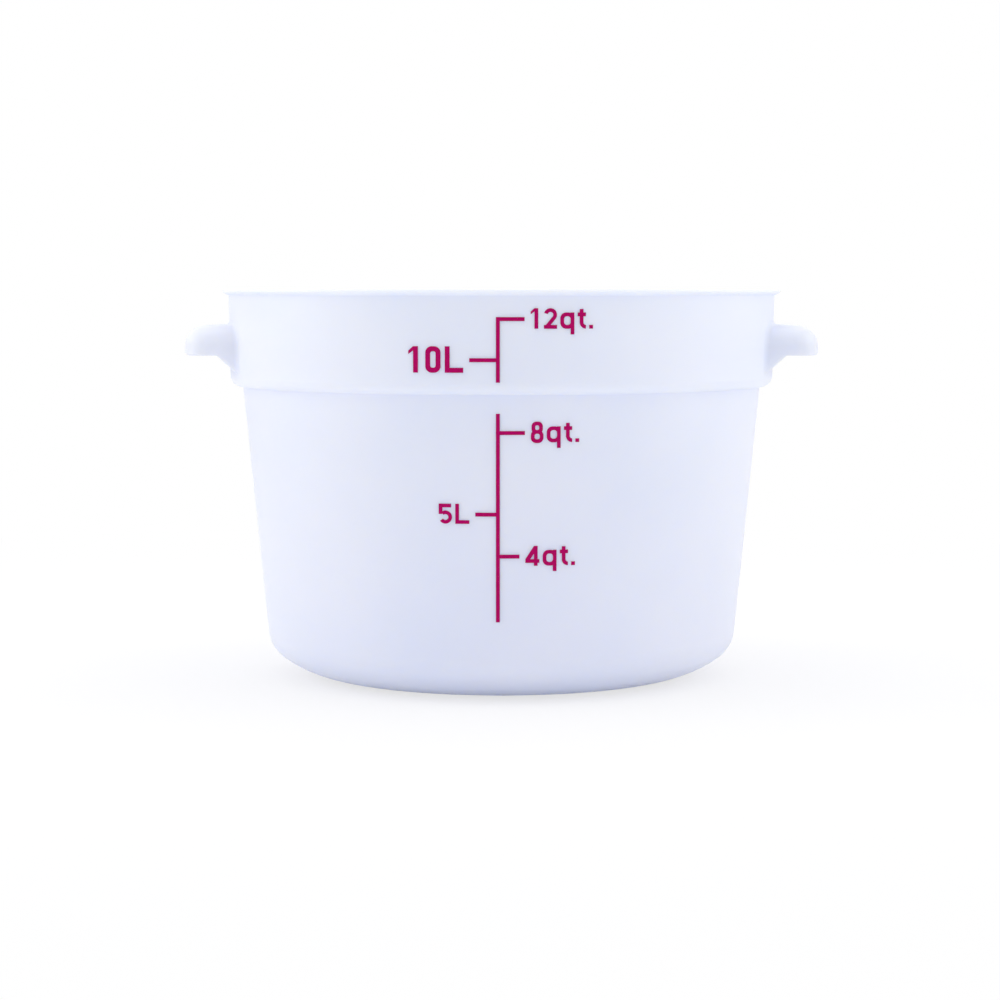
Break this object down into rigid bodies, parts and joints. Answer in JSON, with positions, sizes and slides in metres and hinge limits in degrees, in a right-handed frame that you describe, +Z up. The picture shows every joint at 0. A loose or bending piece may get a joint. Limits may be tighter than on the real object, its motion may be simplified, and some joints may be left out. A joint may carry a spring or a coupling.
{
  "type": "dough proofing container",
  "caption": "Round milky plastic dough tub with a stepped collar, rim flange, ear handles and a printed volume scale.",
  "frame": {"origin": "middle of the base, on the table", "axes": "+Z up; the ears reach out along X; the printed scale faces -Y"},
  "size_m": [0.35, 0.309, 0.214],
  "materials": {
    "natural_polypropylene": "natural milky polypropylene, satin mould finish, lets light through",
    "red_ink": "crimson screen ink, satin"
  },
  "bodies": {
    "root": {"tub": "natural_polypropylene", "scale_upper": "red_ink", "scale_lower": "red_ink", "label_12_quart": "red_ink", "label_10_litre": "red_ink", "label_8_quart": "red_ink", "label_5_litre": "red_ink", "label_4_quart": "red_ink"}
  },
  "joints": []
}
